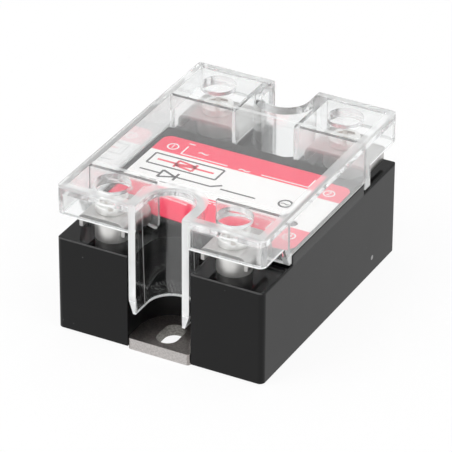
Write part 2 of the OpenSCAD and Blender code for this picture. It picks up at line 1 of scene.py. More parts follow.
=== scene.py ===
# %% [markdown]
# # Dressing a solid state relay
#
# The relay is a black moulded case on a slotted metal plate. Four screw terminals stand on its two decks,
# and a clear cover sits over them. The CAD model already holds every piece at its real size, so this
# lesson keeps those shapes, gives each one a finish, and models again the small metal parts whose edges
# and threads the eye looks for. Lengths are in metres, and `MM` turns a drawing's millimetres into them.

import math

import bpy
from mathutils import Matrix, Vector


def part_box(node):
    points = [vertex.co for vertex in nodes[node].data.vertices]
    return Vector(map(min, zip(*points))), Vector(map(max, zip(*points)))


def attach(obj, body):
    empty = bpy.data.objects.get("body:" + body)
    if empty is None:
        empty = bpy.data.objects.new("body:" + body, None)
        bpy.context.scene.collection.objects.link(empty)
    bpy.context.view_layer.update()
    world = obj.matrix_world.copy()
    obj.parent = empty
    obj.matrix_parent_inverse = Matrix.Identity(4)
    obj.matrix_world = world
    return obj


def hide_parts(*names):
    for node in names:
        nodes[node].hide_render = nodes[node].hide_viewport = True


MM = 0.001
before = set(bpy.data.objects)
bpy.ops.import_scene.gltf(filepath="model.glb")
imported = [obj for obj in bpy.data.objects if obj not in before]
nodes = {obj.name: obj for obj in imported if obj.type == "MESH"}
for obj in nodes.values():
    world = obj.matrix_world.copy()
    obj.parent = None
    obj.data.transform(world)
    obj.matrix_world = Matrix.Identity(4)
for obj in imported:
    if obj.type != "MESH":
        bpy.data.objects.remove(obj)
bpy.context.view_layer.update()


def in_mm(lengths):
    """Lengths in millimetres, rounded to be printed."""
    return [round(length / MM, 2) for length in lengths]


# %% [markdown]
# ## The camera
#
# A product photographer stands well back with a long lens, so upright edges stay upright. The camera here
# was fitted to the corners of the case: it looks from the front right, about thirty degrees down. Working
# from an azimuth, an elevation and a distance keeps those three facts readable in the script.

# %% Camera
AZIMUTH = math.radians(27.884)
ELEVATION = math.radians(30.459)
ROLL = math.radians(0.274)
DISTANCE = 700 * MM
FOCAL_PIXELS = 3568
IMAGE_PIXELS = 452
SENSOR_WIDTH = 36
NEAR_CLIP = 0.01
FAR_CLIP = 10
AIM = Vector((-2.294, 2.816, 12.0)) * MM

towards_camera = Vector((
    math.sin(AZIMUTH) * math.cos(ELEVATION),
    -math.cos(AZIMUTH) * math.cos(ELEVATION),
    math.sin(ELEVATION),
))
camera_data = bpy.data.cameras.new("camera")
camera_data.sensor_width = SENSOR_WIDTH
camera_data.lens = SENSOR_WIDTH * FOCAL_PIXELS / IMAGE_PIXELS
camera_data.clip_start = NEAR_CLIP
camera_data.clip_end = FAR_CLIP
camera = bpy.data.objects.new("camera", camera_data)
bpy.context.scene.collection.objects.link(camera)
camera.location = AIM + towards_camera * DISTANCE
camera.rotation_mode = "QUATERNION"
level_turn = (-towards_camera).to_track_quat("-Z", "Y").to_matrix()
camera.rotation_quaternion = (Matrix.Rotation(ROLL, 3, towards_camera) @ level_turn).to_quaternion()
bpy.context.scene.camera = camera
print("lens in mm:", round(camera_data.lens, 1))

# %% [markdown]
# ## Writing shader maths as Python
#
# A material is a graph of nodes, and a graph built call by call is hard to read. This class wraps one
# output of a node, so that `x * 2 + 1` adds the two Math nodes that it needs. The reflected forms let a
# plain number stand on the left, as in `1 - mask`. Every other kind of node comes from one method.

# %% Shader helper
class Wire:
    """One output in a material's node tree."""

    def __init__(self, tree, socket):
        self.tree = tree
        self.socket = socket

    def node(self, kind, settings, sockets, output=0):
        """Adds a node, sets it up, fills its sockets with numbers or wires, and returns one output."""
        made = self.tree.nodes.new("ShaderNode" + kind)
        for name, value in settings.items():
            setattr(made, name, value)
        for name, value in sockets.items():
            if isinstance(value, Wire):
                self.tree.links.new(value.socket, made.inputs[name])
            else:
                made.inputs[name].default_value = value
        return Wire(self.tree, made.outputs[output])

    def math(self, operation, first, second):
        return self.node("Math", {"operation": operation}, {0: first, 1: second})

    def __add__(self, other):
        return self.math("ADD", self, other)

    def __radd__(self, other):
        return self.math("ADD", other, self)

    def __sub__(self, other):
        return self.math("SUBTRACT", self, other)

    def __rsub__(self, other):
        return self.math("SUBTRACT", other, self)

    def __mul__(self, other):
        return self.math("MULTIPLY", self, other)

    def __rmul__(self, other):
        return self.math("MULTIPLY", other, self)

    def __gt__(self, other):
        return self.math("GREATER_THAN", self, other)

    def __lt__(self, other):
        return self.math("LESS_THAN", self, other)

    def __abs__(self):
        return self.math("ABSOLUTE", self, 0)

    def most(self, other):
        return self.math("MAXIMUM", self, other)

    def least(self, other):
        return self.math("MINIMUM", self, other)

    def noise(self, scale, detail=2):
        """Smooth noise from 0 to 1 on this wire's coordinates."""
        return self.node("TexNoise", {}, {"Vector": self, "Scale": scale, "Detail": detail})

    def axes(self):
        """The three numbers of this wire's vector."""
        split = self.node("SeparateXYZ", {}, {0: self}).socket.node
        return [Wire(self.tree, output) for output in split.outputs]

    def between(self, low, high):
        """Goes from low to high as this wire goes from 0 to 1."""
        return self * (high - low) + low

    def blend(self, first, second):
        """A colour between two, by this wire."""
        return self.node("Mix", {"data_type": "RGBA"}, {0: self, 6: first, 7: second}, output=2)


# %% Material helpers
def new_finish(name):
    """A material with its shader, and a wire that carries Object coordinates."""
    finish = bpy.data.materials.new(name)
    finish.use_nodes = True
    tree = finish.node_tree
    shader = tree.nodes["Principled BSDF"]
    place = tree.nodes.new("ShaderNodeTexCoord")
    return finish, shader, Wire(tree, place.outputs["Object"])


def feed(shader, name, value):
    """Puts a wire, a number or a colour into one of the shader's sockets."""
    if isinstance(value, Wire):
        value.tree.links.new(value.socket, shader.inputs[name])
    else:
        shader.inputs[name].default_value = value


def bump(wire, height, strength, distance):
    """A Bump node on that height."""
    return wire.node("Bump", {}, {"Height": height, "Strength": strength, "Distance": distance})


def colour(red, green, blue):
    return (red, green, blue, 1)


def dress(finish, *names):
    """Gives CAD nodes a finish."""
    for name in names:
        nodes[name].data.materials.clear()
        nodes[name].data.materials.append(finish)
    print(finish.name, "on", len(names), "CAD nodes")


# %% [markdown]
# ## Floor and light
#
# Product pictures of this kind are lit by large soft boxes in a white room. A white world does the same:
# it lights the scene from everywhere, and two wide lamps give the faces their order of brightness. The
# floor is white paper. Seen by the camera, in a reflection or through the cover it mostly glows of its
# own accord, so that it reads as white, and the rest of it still takes the object's soft shadow. The
# clear cover bends and traps light many times, so rays get enough bounces. The renderer's blur on gloss
# behind a matt surface is switched off: with it, the label under the cover and the rims of the walls
# would turn dark.

# %% Floor
FLOOR_SIZE = 3
FLOOR_DROP = 0.1 * MM
FLOOR_GLOW = 0.9

bpy.context.scene.view_settings.view_transform = "Standard"
bpy.context.scene.cycles.max_bounces = 32
bpy.context.scene.cycles.glossy_bounces = 24
bpy.context.scene.cycles.transmission_bounces = 24
bpy.context.scene.cycles.blur_glossy = 0

bpy.ops.object.select_all(action="DESELECT")
bpy.ops.mesh.primitive_plane_add(size=FLOOR_SIZE, location=(0, 0, -FLOOR_DROP))
floor = bpy.context.object
floor.name = "floor"

paper = bpy.data.materials.new("white_paper")
paper.use_nodes = True
paper_tree = paper.node_tree
paper_out = paper_tree.nodes["Material Output"]
paper_tree.nodes.remove(paper_tree.nodes["Principled BSDF"])
rays = paper_tree.nodes.new("ShaderNodeLightPath")
seen = Wire(paper_tree, rays.outputs["Is Camera Ray"])
seen = seen.most(Wire(paper_tree, rays.outputs["Is Glossy Ray"]))
seen = seen.most(Wire(paper_tree, rays.outputs["Is Transmission Ray"]))
matt = seen.node("BsdfDiffuse", {}, {"Color": colour(0.95, 0.95, 0.95)})
glow = seen.node("Emission", {}, {"Color": colour(1, 1, 1), "Strength": 1})
mixed = seen.node("MixShader", {}, {0: seen * FLOOR_GLOW, 1: matt, 2: glow})
paper_tree.links.new(mixed.socket, paper_out.inputs["Surface"])
floor.data.materials.append(paper)
print("floor:", FLOOR_SIZE, "m across")

# %% World
ROOM_LIGHT = 0.85
MIRROR_LIGHT = 0.78

world = bpy.data.worlds.new("white_room")
bpy.context.scene.world = world
world.use_nodes = True
world_tree = world.node_tree
backdrop = world_tree.nodes["Background"]
world_rays = world_tree.nodes.new("ShaderNodeLightPath")
direct = Wire(world_tree, world_rays.outputs["Is Camera Ray"])
mirrored = Wire(world_tree, world_rays.outputs["Is Glossy Ray"])
through = Wire(world_tree, world_rays.outputs["Is Transmission Ray"])
backdrop.inputs["Color"].default_value = colour(1, 1, 1)
room = mirrored.between(ROOM_LIGHT, MIRROR_LIGHT)
room = room.most(direct).most(through)
world_tree.links.new(room.socket, backdrop.inputs["Strength"])
print("room light:", ROOM_LIGHT, "in mirrors:", MIRROR_LIGHT)


# %% Lamps
def soft_box(name, place, size, energy):
    """A square lamp, in millimetres and watts, that looks at the origin."""
    data = bpy.data.lights.new(name, "AREA")
    data.size = size * MM
    data.energy = energy
    lamp = bpy.data.objects.new(name, data)
    bpy.context.scene.collection.objects.link(lamp)
    lamp.location = Vector(place) * MM
    lamp.rotation_mode = "QUATERNION"
    lamp.rotation_quaternion = (-lamp.location).to_track_quat("-Z", "Y")
    print(name, "at", place, "mm,", energy, "W")


soft_box("right_soft_box", (900, -200, 900), 700, 2)
soft_box("front_soft_box", (-480, -610, 915), 500, 3)

# %% [markdown]
# ## Black moulding
#
# The case is injection moulded in a black glass-filled plastic. Its sides came off a lightly sparked
# mould and are satin; the two decks and the platform were polished, and mirror the plated metal above
# them. One finish does both: the height above the plate says which roughness holds. A thin grey line is
# painted along the decks' edges as a highlight, broken up by noise. The distance from a notch's middle
# line, bent round its inner end, finds the edge round each notch. A few specks of dust sit on the case,
# and one pin of the mould has left a small scar low on the right side.

# %% Case finish
case_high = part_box("case")[1]
DECK_DROP = 2.4 * MM
EDGE = 0.3 * MM
SKIN = 0.03 * MM
PIN_MARK = Vector((22.25, 18.27, 3.64)) * MM
PIN_RADIUS = 0.5 * MM
NOTCH_MIDDLE = 23.8 * MM
NOTCH_RADIUS = 6.85 * MM
deck_top = case_high.z - DECK_DROP


def notch_reach(x, y):
    """The squared distance from the middle line of a mounting notch."""
    inward = (NOTCH_MIDDLE - abs(y)).most(0)
    return x * x + inward * inward


def black_moulding():
    finish, shader, place = new_finish("black_moulding")
    x, y, z = place.axes()
    polished = z > deck_top - EDGE / 2
    brim = (z > deck_top - EDGE) * (z < deck_top + EDGE)
    # A thin grey line painted along the decks' edges and round the notches: a painted highlight.
    painted_edge_highlight = (abs(y) > case_high.y - EDGE).most((abs(x) > case_high.x - EDGE) * 0.2)
    painted_edge_highlight = painted_edge_highlight.most((notch_reach(x, y) < (NOTCH_RADIUS + EDGE) ** 2) * 0.5)
    painted_edge_highlight = brim * painted_edge_highlight * place.noise(700).between(0.3, 1)
    dust = place.noise(1300, 0) > 0.87
    along = y - PIN_MARK.y
    above = z - PIN_MARK.z
    scar = (along * along + above * above < PIN_RADIUS ** 2) * (x > case_high.x - SKIN)
    cloud = place.noise(60)
    grain = place.noise(5200, 3)
    black = cloud.blend(colour(0.003, 0.003, 0.0033), colour(0.005, 0.005, 0.0054))
    # The painted edge highlight, the dust specks and the pin scar lighten the black.
    pale = (painted_edge_highlight * 0.06).most(dust * 0.06).most(scar * 0.3)
    feed(shader, "Base Color", pale.blend(black, colour(1, 1, 1)))
    feed(shader, "Roughness", polished * -0.26 + cloud.between(0.3, 0.38))
    feed(shader, "Normal", bump(place, grain * (1 - polished * 0.9), 0.08, 0.02 * MM))
    shader.inputs["Specular IOR Level"].default_value = 0.23
    return finish


dress(black_moulding(), "case")

# %% [markdown]
# ## Clear moulding
#
# The cover is polycarbonate, moulded in a tool whose broad faces are polished and whose narrow ones are
# not. A refracting shader with that plastic's index bends what lies under the top plate, lights up the
# rims and mirrors the room. The walls work as light guides, and their matt rims scatter the light that
# reaches them, so a pale frosted shader is mixed in there. The top plate shrank over each wall as it
# cooled and is hazy in a strip above it, which takes a little of the same shader. So do the outsides of
# the skirts and the plate's edges, which hands have dulled, the scuffed feet of the U-shaped walls, and
# the fine line in each of these where two flows of plastic met in the mould. Each kind of face lies in a
# plane of its own, so coordinates find it.

# %% Cover sizes
cover_low, cover_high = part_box("cover")
RIM = 0.3 * MM
HAZE = 0.6 * MM
PLATE = 2.1 * MM
WALL = 1.2 * MM
END_WALL = 6.2 * MM
BARRIER_HALF = 0.45 * MM
BARRIER_DROP = 1.7 * MM
INPUT_BARRIER = -17.55 * MM
OUTPUT_BARRIER = 14.75 * MM
LINER = 6.5 * MM
LINER_WALL = 1.5 * MM
LEAD_IN = 2.8 * MM
TIP_WALL = 1.4 * MM
CORNER = 1.5 * MM
MEETING_LINE = 24.7 * MM
MEETING_SLOPE = 0.042
LINE_HALF = 0.12 * MM
SCUFF = 3.5 * MM
end_wall_foot = cover_high.z - END_WALL
barrier_foot = case_high.z - BARRIER_DROP
print("cover from", in_mm(cover_low), "to", in_mm(cover_high), "mm")

# %% Cover faces
FOOT_SHARE = 0.4
ARM_SHARE = 0.45
TIP_SHARE = 0.5
STRIP_HAZE = 0.38
PANE_HAZE = 0.12
CORNER_HAZE = 0.25
SKIRT_HAZE = 0.2
EDGE_HAZE = 0.22
MEETING_HAZE = 0.5
SCUFF_HAZE = 0.2


def cover_faces(place):
    """Masks for the polished faces, the matt rims, the driver holes, and the hazy strips and panes."""
    x, y, z = place.axes()
    reach = notch_reach(x, y)
    liner = reach < (LINER + SKIN) ** 2
    side_wall = abs(x) > cover_high.x - WALL - SKIN
    end_wall = abs(y) > cover_high.y - WALL - SKIN
    off_barrier = abs(y - INPUT_BARRIER).least(abs(y - OUTPUT_BARRIER))
    barrier = (off_barrier < BARRIER_HALF + SKIN) * (1 - side_wall)

    polished = (z > cover_high.z - SKIN).most(abs(z - (cover_high.z - PLATE)) < SKIN)
    polished = polished.most(abs(x) > cover_high.x - SKIN)
    polished = polished.most(abs(abs(x) - (cover_high.x - WALL)) < SKIN)

    foot = (end_wall * (z < end_wall_foot + RIM)).most(barrier * (z < barrier_foot + RIM))
    foot = (foot * (1 - liner)).most(z < cover_low.z + RIM)
    foot = foot.most(side_wall * (z < case_high.z + RIM) * FOOT_SHARE)
    arm = liner * (abs(y) > cover_high.y - SKIN)
    tip = (z < cover_low.z + LEAD_IN) * (reach > (LINER - TIP_WALL) ** 2) * (abs(y) > cover_high.y - WALL)
    pane = barrier.most(end_wall * 0.4) * (1 - liner) * (z < cover_high.z - PLATE - SKIN)
    corner = (abs(x) > cover_high.x - CORNER) * (abs(y) > cover_high.y - CORNER)
    skirt = (abs(x) > cover_high.x - SKIN) * (z < cover_high.z - PLATE)
    inner_face = reach < (LINER - LINER_WALL + SKIN) ** 2
    edge = (abs(x) > cover_high.x - SKIN).most(abs(y) > cover_high.y - SKIN).most(inner_face * (y < 0))
    edge = edge * (z > cover_high.z - PLATE)
    meeting = inner_face * (z < cover_high.z - PLATE)
    meeting = meeting * (abs(abs(y) - z * MEETING_SLOPE - MEETING_LINE) < LINE_HALF)
    scuff = inner_face * (z < cover_low.z + SCUFF) * (place.noise(2600, 1) > 0.58)

    hole = (z < cover_high.z - SKIN) * (z > cover_high.z - PLATE + SKIN) * (1 - liner)
    hole = hole * (abs(x) < cover_high.x - 2 * WALL) * (abs(y) < cover_high.y - 2 * WALL)

    over_wall = (abs(x) > cover_high.x - WALL - HAZE).most(abs(y) > cover_high.y - WALL - HAZE)
    over_wall = over_wall.most(off_barrier < BARRIER_HALF).most((reach < (LINER + HAZE) ** 2) * (y < 0))
    strip = over_wall * (z > cover_high.z - HAZE)

    rim = foot.most(arm * ARM_SHARE).most(tip * TIP_SHARE)
    haze = (strip * STRIP_HAZE).most(pane * PANE_HAZE).most(corner * CORNER_HAZE)
    haze = haze.most(skirt * SKIRT_HAZE).most(edge * EDGE_HAZE)
    haze = haze.most(meeting * MEETING_HAZE).most(scuff * SCUFF_HAZE)
    return polished, rim, hole, haze


# %% Cover finish
def clear_moulding():
    finish, shader, place = new_finish("clear_moulding")
    wave = place.noise(110, 1)
    polished, rim, hole, haze = cover_faces(place)
    rough = wave.between(0.08, 0.12) * (1 - polished * 0.85)
    feed(shader, "Base Color", wave.blend(colour(0.975, 0.985, 0.985), colour(0.99, 0.995, 0.995)))
    feed(shader, "Roughness", rough.most(rim * 0.6).most(hole * 0.25))
    feed(shader, "Normal", bump(place, wave, 0.02, 0.1 * MM))
    shader.inputs["Transmission Weight"].default_value = 1
    shader.inputs["IOR"].default_value = 1.585
    pale = {"Base Color": colour(0.94, 0.95, 0.95), "Roughness": 0.6}
    frosted = place.node("BsdfPrincipled", {}, pale)
    clear = Wire(place.tree, shader.outputs["BSDF"])
    share = rim.most(hole * 0.12).most(haze)
    both = place.node("MixShader", {}, {0: share, 1: clear, 2: frosted})
    place.tree.links.new(both.socket, place.tree.nodes["Material Output"].inputs["Surface"])
    return finish


dress(clear_moulding(), "cover")

# %% [markdown]
# ## Bright metal
#
# Posts, clamps and screws are nickel plated. Plating follows the tool marks under it: turned rings on
# the posts, fine straight lines on the stamped clamps and the base plate, and an even grain on the
# screws. Stretching a noise along one axis draws the rings and the lines. Some zones of a piece have
# colours of their own. The base plate's slots are punched, and a punch tears the last of the metal, so
# their walls are dull, while the plate's two sawn ends are bright. The sheared rims of the clamps are
# painted darker, as shade under the front edge of each clamp's top, and their low rims are lighter.

# %% Plated metal
def nickel(name, stretch, tone, roughness, specks=500, depth=0.14, zones=None):
    """Plated metal: marks squeezed along the axes by stretch, dark specks, zones of other colours."""
    finish, shader, place = new_finish(name)
    lines = place.node("Mapping", {}, {"Vector": place, "Scale": stretch}).noise(1, 3)
    cloud = place.noise(specks).between(-0.5, 1.5)
    dark = colour(*[(1 - depth) * part for part in tone])
    shade = cloud.blend(dark, colour(*tone))
    rough = lines.between(roughness - 0.06, roughness + 0.06)
    coloured = zones(place) if zones else ()
    for mask, low_tone, high_tone, dullness in coloured:
        shade = mask.blend(shade, cloud.blend(colour(*low_tone), colour(*high_tone)))
        rough = rough.most(mask * dullness)
    feed(shader, "Base Color", shade)
    feed(shader, "Roughness", rough)
    feed(shader, "Normal", bump(place, lines, 0.04, 0.01 * MM))
    shader.inputs["Metallic"].default_value = 1
    return finish


# %% Zones of the plate and the clamps
SLOT_HALF_WIDTH = 2.2 * MM
SLOT_HALF_LENGTH = 3.5 * MM
LEG_END = 1.5 * MM
plate_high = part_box("base_plate")[1]
clamp_low, clamp_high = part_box("input_clamp_left")
print("plate top and clamp foot at", in_mm((plate_high.z, clamp_low.z)), "mm")


def plate_zones(place):
    """The walls of the two mounting slots, and the two ends."""
    x, y, z = place.axes()
    across = abs(x) < SLOT_HALF_WIDTH + SKIN
    along = abs(abs(y) - NOTCH_MIDDLE) < SLOT_HALF_LENGTH + SKIN
    torn = across * along * (z < plate_high.z - SKIN)
    sawn = abs(y) > plate_high.y - SKIN
    return ((torn, (0.13, 0.127, 0.117), (0.38, 0.37, 0.345), 0.6),
            (sawn, (0.40, 0.38, 0.37), (0.64, 0.61, 0.595), 0))


def rim_zones(place):
    """The low rims of the clamps."""
    z = place.axes()[2]
    return ((z < clamp_low.z + LEG_END, (0.50, 0.49, 0.48), (0.66, 0.65, 0.64), 0),)


# %% Metal finishes
turned_post = nickel("turned_nickel", (300, 300, 9000), (0.90, 0.89, 0.87), 0.42)
stamped_clamp = nickel("stamped_nickel", (400, 8000, 400), (0.55, 0.54, 0.53), 0.3)
# The sheared rim is a duller metal, painted darker as the shade under the front edge of a clamp's top.
sheared_edge_painted_shade = nickel("sheared_edge_painted_shade", (2500, 2500, 2500), (0.30, 0.29, 0.28), 0.5, zones=rim_zones)
bright_screw = nickel("screw_nickel", (2500, 2500, 2500), (0.95, 0.94, 0.92), 0.3)
# The slot metal is duller and darker than the head: painted shade in the slots.
milled_slot_painted_shade = nickel("milled_slot_painted_shade", (2500, 2500, 2500), (0.66, 0.62, 0.58), 0.4)
brushed_plate = nickel("brushed_plate", (9000, 300, 900), (0.48, 0.445, 0.425), 0.4,
                       specks=2800, depth=0.45, zones=plate_zones)
ENDS = ("input", "output")
SIDES = ("left", "right")
dress(turned_post, *[f"{end}_post_{side}" for end in ENDS for side in SIDES])
dress(brushed_plate, "base_plate")

# %% [markdown]
# ## Terminal screws
#
# Each terminal has an M4 screw with a low domed head, one slot right across it and a shorter one square to
# that. The head is turned on a lathe, so its half profile is walked point by point and spun. The slots are
# milled, which is a Boolean here: the cutter brings its own material, a duller metal painted darker as
# the shade inside the slots. The thread is a tooth profile carried up a helix by a Screw modifier.
# One screw is modelled at the origin, and each terminal gets a copy with its own mesh.

# %% Edit helpers
def only(thing):
    """Selects one object alone."""
    bpy.ops.object.select_all(action="DESELECT")
    thing.select_set(True)
    bpy.context.view_layer.objects.active = thing


def edit_all(thing):
    """Opens one object alone in edit mode, with its whole mesh selected."""
    only(thing)
    bpy.ops.object.mode_set(mode="EDIT")
    bpy.ops.mesh.select_all(action="SELECT")


def face_outwards():
    """Turns all faces of the mesh in edit mode outwards, and leaves edit mode."""
    bpy.ops.mesh.select_all(action="SELECT")
    bpy.ops.mesh.normals_make_consistent(inside=False)
    bpy.ops.object.mode_set(mode="OBJECT")


# %% Shape helpers
SEED = 0.1 * MM
WELD = 0.001 * MM


def walk_profile(name, points):
    """A chain of edges in the XZ plane, extruded from its first point."""
    bpy.ops.object.select_all(action="DESELECT")
    bpy.ops.mesh.primitive_plane_add(size=SEED, location=(0, 0, 0))
    thing = bpy.context.object
    thing.name = name
    edit_all(thing)
    bpy.ops.mesh.merge(type="CENTER")
    bpy.ops.transform.translate(value=(points[0][0], 0, points[0][1]))
    for (r0, z0), (r1, z1) in zip(points, points[1:]):
        step = (r1 - r0, 0, z1 - z0)
        bpy.ops.mesh.extrude_region_move(TRANSFORM_OT_translate={"value": step})
    bpy.ops.object.mode_set(mode="OBJECT")
    return thing


def spin_round(thing, steps):
    """Spins a profile a full turn about Z and closes its seam and poles."""
    edit_all(thing)
    bpy.ops.mesh.spin(steps=steps, angle=2 * math.pi, center=(0, 0, 0), axis=(0, 0, 1))
    bpy.ops.mesh.select_all(action="SELECT")
    bpy.ops.mesh.remove_doubles(threshold=WELD)
    face_outwards()


def apply(thing, kind, **settings):
    """Adds a modifier, sets it up and applies it."""
    only(thing)
    modifier = thing.modifiers.new(kind.lower(), kind)
    for name, value in settings.items():
        setattr(modifier, name, value)
    bpy.ops.object.modifier_apply(modifier=modifier.name)


def cut_away(thing, cutter):
    """Takes the cutter out of the thing, and removes the cutter."""
    apply(thing, "BOOLEAN", operation="DIFFERENCE", solver="EXACT", material_mode="TRANSFER", object=cutter)
    bpy.data.objects.remove(cutter)


def box_at(name, size, place):
    """A cube primitive at its size and place, with the size in its mesh."""
    bpy.ops.object.select_all(action="DESELECT")
    bpy.ops.mesh.primitive_cube_add(size=1, location=place, scale=size)
    thing = bpy.context.object
    thing.name = name
    bpy.ops.object.transform_apply(location=True, rotation=True, scale=True)
    return thing


# %% Head of one screw
screw_low, screw_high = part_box("input_screw_left")
HEAD_RADIUS = (screw_high.x - screw_low.x) / 2
HEAD_HEIGHT = screw_high.z - clamp_high.z
SHANK_LENGTH = clamp_high.z - screw_low.z
DOME_RADIUS = 5.5 * MM
FOOT_BEVEL = 0.15 * MM
DOME_STEPS = 10
TURN_STEPS = 64
SLOT_WIDTH = 0.9 * MM
SLOT_DEPTH = 1.2 * MM
SHORT_SLOT = 3.8 * MM
SLOT_TURN = math.radians(28)
SLOT_BEVEL = 0.07 * MM
SHARP = math.radians(35)

dome_centre = HEAD_HEIGHT - DOME_RADIUS
edge_angle = math.asin(HEAD_RADIUS / DOME_RADIUS)
head_profile = [(0, 0), (HEAD_RADIUS - FOOT_BEVEL, 0), (HEAD_RADIUS, FOOT_BEVEL)]
for step in range(DOME_STEPS + 1):
    angle = edge_angle * (1 - step / DOME_STEPS)
    head_profile.append((DOME_RADIUS * math.sin(angle), dome_centre + DOME_RADIUS * math.cos(angle)))
screw = walk_profile("terminal_screw", head_profile)
spin_round(screw, TURN_STEPS)
screw.data.materials.append(bright_screw)
slot_place = (0, 0, HEAD_HEIGHT - SLOT_DEPTH + HEAD_HEIGHT / 2)
for size in ((SLOT_WIDTH, 4 * HEAD_RADIUS, HEAD_HEIGHT), (SHORT_SLOT, SLOT_WIDTH, HEAD_HEIGHT)):
    cutter = box_at("slot_cutter", size, slot_place)
    cutter.data.transform(Matrix.Rotation(SLOT_TURN, 4, "Z"))
    cutter.data.materials.append(milled_slot_painted_shade)
    cut_away(screw, cutter)
apply(screw, "BEVEL", width=SLOT_BEVEL, segments=2, limit_method="ANGLE", angle_limit=SHARP)
print("head across and high in mm:", in_mm((2 * HEAD_RADIUS, HEAD_HEIGHT)))

# %% Thread and shank
THREAD_PITCH = 0.7 * MM
CREST_RADIUS = 1.98 * MM
ROOT_RADIUS = 1.58 * MM
FLANK = 0.27 * MM
CREST = 0.09 * MM
THREAD_STEPS = 28
THREAD_WELD = 0.002 * MM
CORE_RADIUS = ROOT_RADIUS + 0.02 * MM
CORE_RISE = 0.5 * MM
TIP_RADIUS = 1.3 * MM
TIP_LENGTH = 0.35 * MM

thread_turns = int(SHANK_LENGTH / THREAD_PITCH) - 1
tooth = [(ROOT_RADIUS, 0), (CREST_RADIUS, FLANK), (CREST_RADIUS, FLANK + CREST)]
tooth += [(ROOT_RADIUS, 2 * FLANK + CREST), (ROOT_RADIUS, THREAD_PITCH)]
thread = walk_profile("thread", tooth)
apply(thread, "SCREW", screw_offset=THREAD_PITCH, iterations=thread_turns, steps=THREAD_STEPS,
      render_steps=THREAD_STEPS, use_merge_vertices=True, merge_threshold=THREAD_WELD)
thread.data.transform(Matrix.Translation((0, 0, -(thread_turns + 1) * THREAD_PITCH)))
core_profile = [(0, -SHANK_LENGTH), (TIP_RADIUS, -SHANK_LENGTH), (CORE_RADIUS, TIP_LENGTH - SHANK_LENGTH)]
core_profile += [(CORE_RADIUS, CORE_RISE), (0, CORE_RISE)]
core = walk_profile("core", core_profile)
spin_round(core, THREAD_STEPS)
bpy.ops.object.select_all(action="DESELECT")
for part in (thread, core):
    part.data.materials.append(bright_screw)
    part.select_set(True)
screw.select_set(True)
bpy.context.view_layer.objects.active = screw
bpy.ops.object.join()
edit_all(screw)
face_outwards()
bpy.ops.object.shade_smooth_by_angle(angle=SHARP)
print("screw faces:", len(screw.data.polygons), "materials:", [m.name for m in screw.data.materials])

# %% Place the four screws
def place_copy(pattern, name, shift, node):
    """A copy with its own mesh, moved in the mesh, that stands for one CAD node."""
    copy = pattern.copy()
    copy.data = pattern.data.copy()
    copy.name = name
    bpy.context.scene.collection.objects.link(copy)
    copy.data.transform(Matrix.Translation(shift))
    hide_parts(node)
    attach(copy, node)
    print(name, "at", in_mm(shift), "mm")


def middle_at(low, high, height):
    """The point in the middle of a box's plan, at that height."""
    return Vector(((low.x + high.x) / 2, (low.y + high.y) / 2, height))


for end in ENDS:
    for side in SIDES:
        low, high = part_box(f"{end}_screw_{side}")
        seat = middle_at(low, high, high.z - HEAD_HEIGHT)
        place_copy(screw, f"bright_screw_{end}_{side}", seat, f"{end}_screw_{side}")
bpy.data.objects.remove(screw)

# %% [markdown]
# ## Saddle clamps
#
# Each clamp is a strip of sheet bent down at both sides, so that it straddles the post and keeps the wire
# under the screw. A press bends it round a tool, so the outside of the bend is what is drawn: a chain of
# points down one side, round both bends and down the other is extruded into a sheet, and Solidify gives
# the sheet its thickness inwards. Its sheared rim gets a duller metal that is painted darker, as shade
# under the front edge of the top. A fine bevel follows, because the eye expects a thin line of light
# along every edge.

# %% Bend a clamp
SHEET = 0.8 * MM
BEND_RADIUS = 1.6 * MM
BEND_STEPS = 8


def saddle(width, length, height):
    """A bent sheet, its feet at z = 0, centred on the Z axis."""
    bend = []
    for step in range(BEND_STEPS + 1):
        angle = math.pi / 2 * step / BEND_STEPS
        across = width / 2 - BEND_RADIUS + BEND_RADIUS * math.cos(angle)
        bend.append((across, height - BEND_RADIUS + BEND_RADIUS * math.sin(angle)))
    right = [(width / 2, 0)] + bend
    left = [(-across, up) for across, up in reversed(right)]
    sheet = walk_profile("saddle", right + left)
    edit_all(sheet)
    bpy.ops.transform.translate(value=(0, -length / 2, 0))
    bpy.ops.mesh.extrude_region_move(TRANSFORM_OT_translate={"value": (0, length, 0)})
    face_outwards()
    sheet.data.materials.append(stamped_clamp)
    sheet.data.materials.append(sheared_edge_painted_shade)
    apply(sheet, "SOLIDIFY", thickness=SHEET, offset=-1, use_even_offset=True, material_offset_rim=1)
    return sheet


# %% Drill and place the clamps
HOLE_RADIUS = 2.25 * MM
HOLE_SIDES = 48
EDGE_BREAK = 0.1 * MM
BREAK_ANGLE = math.radians(50)
SMOOTH_ANGLE = math.radians(40)

for end in ENDS:
    low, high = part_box(f"{end}_clamp_left")
    size = high - low
    plate = saddle(size.x, size.y, size.z)
    print(end, "saddle in mm:", in_mm(plate.dimensions), "CAD:", in_mm(size))
    bpy.ops.object.select_all(action="DESELECT")
    bpy.ops.mesh.primitive_cylinder_add(
        vertices=HOLE_SIDES, radius=HOLE_RADIUS, depth=2 * SHEET, location=(0, 0, size.z))
    drill = bpy.context.object
    drill.data.materials.append(stamped_clamp)
    cut_away(plate, drill)
    apply(plate, "BEVEL", width=EDGE_BREAK, segments=3, limit_method="ANGLE", angle_limit=BREAK_ANGLE)
    bpy.ops.object.shade_smooth_by_angle(angle=SMOOTH_ANGLE)
    for side in SIDES:
        low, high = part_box(f"{end}_clamp_{side}")
        seat = middle_at(low, high, low.z)
        place_copy(plate, f"bent_clamp_{end}_{side}", seat, f"{end}_clamp_{side}")
    bpy.data.objects.remove(plate)

# %% [markdown]
# ## The label
#
# The label is a printed film: a white field between two red bands. The bands are straight, so the label's
# own coordinates draw them in the shader, sharp at any distance.

# %% Label finish
label_low, label_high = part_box("label")
FAR_BAND = label_high.y - 6.2 * MM
NEAR_BAND = label_low.y + 7.6 * MM


